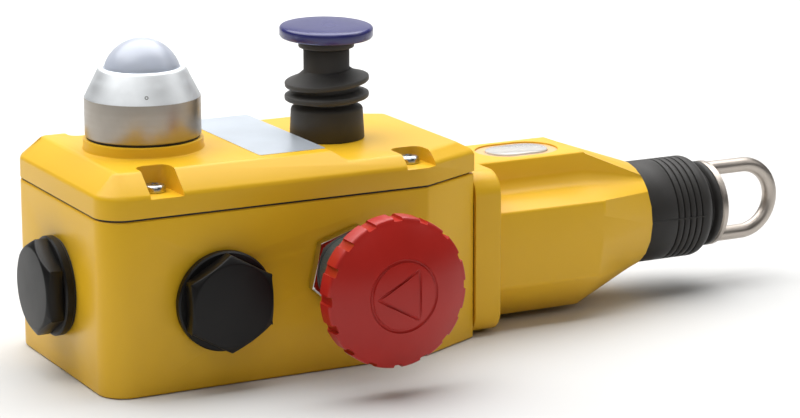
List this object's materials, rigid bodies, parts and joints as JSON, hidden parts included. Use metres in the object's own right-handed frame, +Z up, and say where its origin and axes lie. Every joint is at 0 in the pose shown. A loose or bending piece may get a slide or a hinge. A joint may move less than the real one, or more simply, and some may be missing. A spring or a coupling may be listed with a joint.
{
  "type": "rope pull switch",
  "caption": "Safety rope pull switch: die-cast box and sprung rope shaft with eye, emergency stop button, pull-to-reset knob, indicator beacon and tension window.",
  "frame": {"origin": "centre of the four mounting holes, on the underside of the box", "axes": "+X towards the rope eye, +Z up out of the lid, -Y out of the side with the emergency stop button"},
  "size_m": [0.255, 0.1163, 0.095],
  "materials": {
    "die_cast": "glossy yellow powder coat over die-cast metal",
    "black_nylon": "moulded black nylon, semi-matt",
    "seal_rubber": "black sealing rubber",
    "boot_rubber": "dark grey moulded rubber, satin",
    "sleeve_rubber": "black moulded rubber, satin",
    "stainless": "ground and tumbled stainless steel",
    "zinc_steel": "bright zinc-plated steel",
    "spring_steel": "drawn spring wire",
    "collar_alu": "turned aluminium, satin",
    "chrome_nut": "polished nickel-chrome plate",
    "bronze": "sintered bronze, oiled",
    "dome": "frosted translucent dome, slightly blue",
    "lens": "clear window lens, polished",
    "board": "green circuit board laminate",
    "led": "clear light-emitting diodes",
    "red_plastic": "red moulded plastic, semi-gloss",
    "blue_plastic": "blue moulded plastic, semi-gloss",
    "grey_plastic": "dark grey moulded plastic",
    "cup_plastic": "off-white acetal",
    "slider_plastic": "natural acetal",
    "mark_paint": "green moulded bands",
    "block_plastic": "dark blue-grey thermoset",
    "terminal_plastic": "pale grey polyamide",
    "plunger_plastic": "orange-red acetal"
  },
  "bodies": {
    "housing": {"housing_base": "die_cast", "lid_gasket": "seal_rubber", "housing_lid": "die_cast", "lid_screws": "stainless", "plug_front": "black_nylon", "plug_end": "black_nylon", "plug_rear": "black_nylon", "plug_seals": "seal_rubber", "beacon_seal": "seal_rubber", "beacon_collar": "collar_alu", "beacon_dome": "dome", "beacon_board": "board", "beacon_leds": "led", "beacon_nut": "zinc_steel", "reset_bush": "zinc_steel", "reset_nut": "zinc_steel", "reset_boot": "boot_rubber", "reset_spring": "spring_steel", "stop_seal": "seal_rubber", "stop_nut": "chrome_nut", "stop_barrel": "grey_plastic", "stop_ring": "zinc_steel", "stop_contact": "terminal_plastic", "stop_spring": "spring_steel", "neck_gasket": "seal_rubber", "neck_housing": "die_cast", "neck_screws": "zinc_steel", "window_seal": "seal_rubber", "window_lens": "lens", "inner_bush": "bronze", "nose_bush": "bronze", "main_spring": "spring_steel", "shaft_boot": "sleeve_rubber", "contact_bracket": "zinc_steel", "bracket_screws": "zinc_steel", "contact_block_front": "block_plastic", "contact_block_rear": "block_plastic", "contact_screws": "zinc_steel", "terminal_block": "terminal_plastic", "terminal_screws": "zinc_steel", "earth_screw": "bronze"},
    "pull": {"pull_shaft": "stainless", "rope_eye": "stainless", "spring_cup": "cup_plastic", "tension_marks": "mark_paint", "cam_slider": "slider_plastic", "cam_nut": "zinc_steel"},
    "contact_front": {"plunger_front": "plunger_plastic"},
    "contact_rear": {"plunger_rear": "plunger_plastic"},
    "stop_stem": {"stop_stem": "grey_plastic"},
    "stop_head": {"stop_head": "red_plastic"},
    "reset": {"reset_stem": "stainless", "reset_latch": "zinc_steel", "reset_collar": "grey_plastic", "reset_cap": "blue_plastic"}
  },
  "joints": [
    {"name": "pull_slide", "type": "slide", "parent": "housing", "child": "pull", "axis": [1, 0, 0], "range_m": [0, 0.014], "stiffness_N_per_m": 6000, "springref_m": -0.004, "deforming": ["main_spring", "shaft_boot"]},
    {"name": "contact_front_slide", "type": "slide", "parent": "housing", "child": "contact_front", "axis": [0, 0, 1], "range_m": [0, 0.003]},
    {"name": "contact_rear_slide", "type": "slide", "parent": "housing", "child": "contact_rear", "axis": [0, 0, 1], "range_m": [0, 0.003]},
    {"name": "stop_push", "type": "slide", "parent": "housing", "child": "stop_stem", "axis": [0, 1, 0], "range_m": [0, 0.005], "stiffness_N_per_m": 600, "springref_m": -0.004, "deforming": ["stop_spring"]},
    {"name": "stop_twist", "type": "hinge", "parent": "stop_stem", "child": "stop_head", "pos_m": [0.0139, -0.0608, 0.0296], "axis": [0, 1, 0], "range_deg": [0, 45], "stiffness_Nm_per_rad": 0.2},
    {"name": "reset_pull", "type": "slide", "parent": "housing", "child": "reset", "axis": [0, 0, 1], "range_m": [0, 0.006], "stiffness_N_per_m": 1200, "springref_m": -0.003, "deforming": ["reset_spring", "reset_boot"]}
  ],
  "couplings": [
    {"joint": "contact_front_slide", "follows": "pull_slide", "ratio": 0.2},
    {"joint": "contact_rear_slide", "follows": "pull_slide", "ratio": 0.2}
  ]
}
